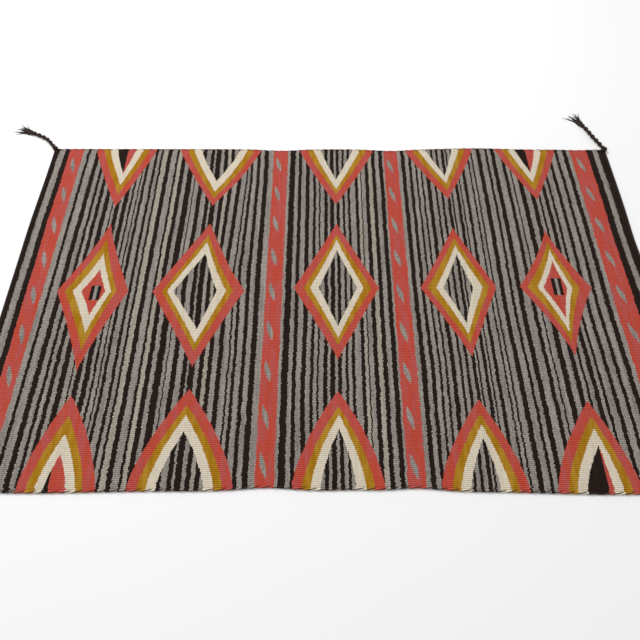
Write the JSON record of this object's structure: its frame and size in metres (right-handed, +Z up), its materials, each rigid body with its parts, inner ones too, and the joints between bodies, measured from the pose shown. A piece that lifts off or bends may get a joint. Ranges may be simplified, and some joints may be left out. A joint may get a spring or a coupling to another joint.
{
  "type": "navajo-style rug",
  "caption": "Flat rectangular tapestry-woven wool rug with striped ground, stepped diamonds, twined edge cords and a tasselled rope at each corner, for lying on a floor.",
  "frame": {"origin": "middle of the rug's underside, on the floor", "axes": "+X along the rug's length, which is the warp direction, +Y along its width towards the far side edge, +Z up"},
  "size_m": [1.782, 1.299, 0.014],
  "materials": {
    "woven_wool": "matt wool tapestry weave in dark brown, heather grey, coral, gold and cream",
    "cord_wool": "matt twined dark brown wool",
    "tassel_wool": "matt twisted dark brown wool, loose at the ends"
  },
  "bodies": {
    "root": {"rug_field": "woven_wool", "side_cord_far": "cord_wool", "side_cord_near": "cord_wool", "end_cord_left": "cord_wool", "end_cord_right": "cord_wool", "tassel_far_left": "tassel_wool", "tassel_far_right": "tassel_wool", "tassel_near_left": "tassel_wool", "tassel_near_right": "tassel_wool"}
  },
  "joints": []
}
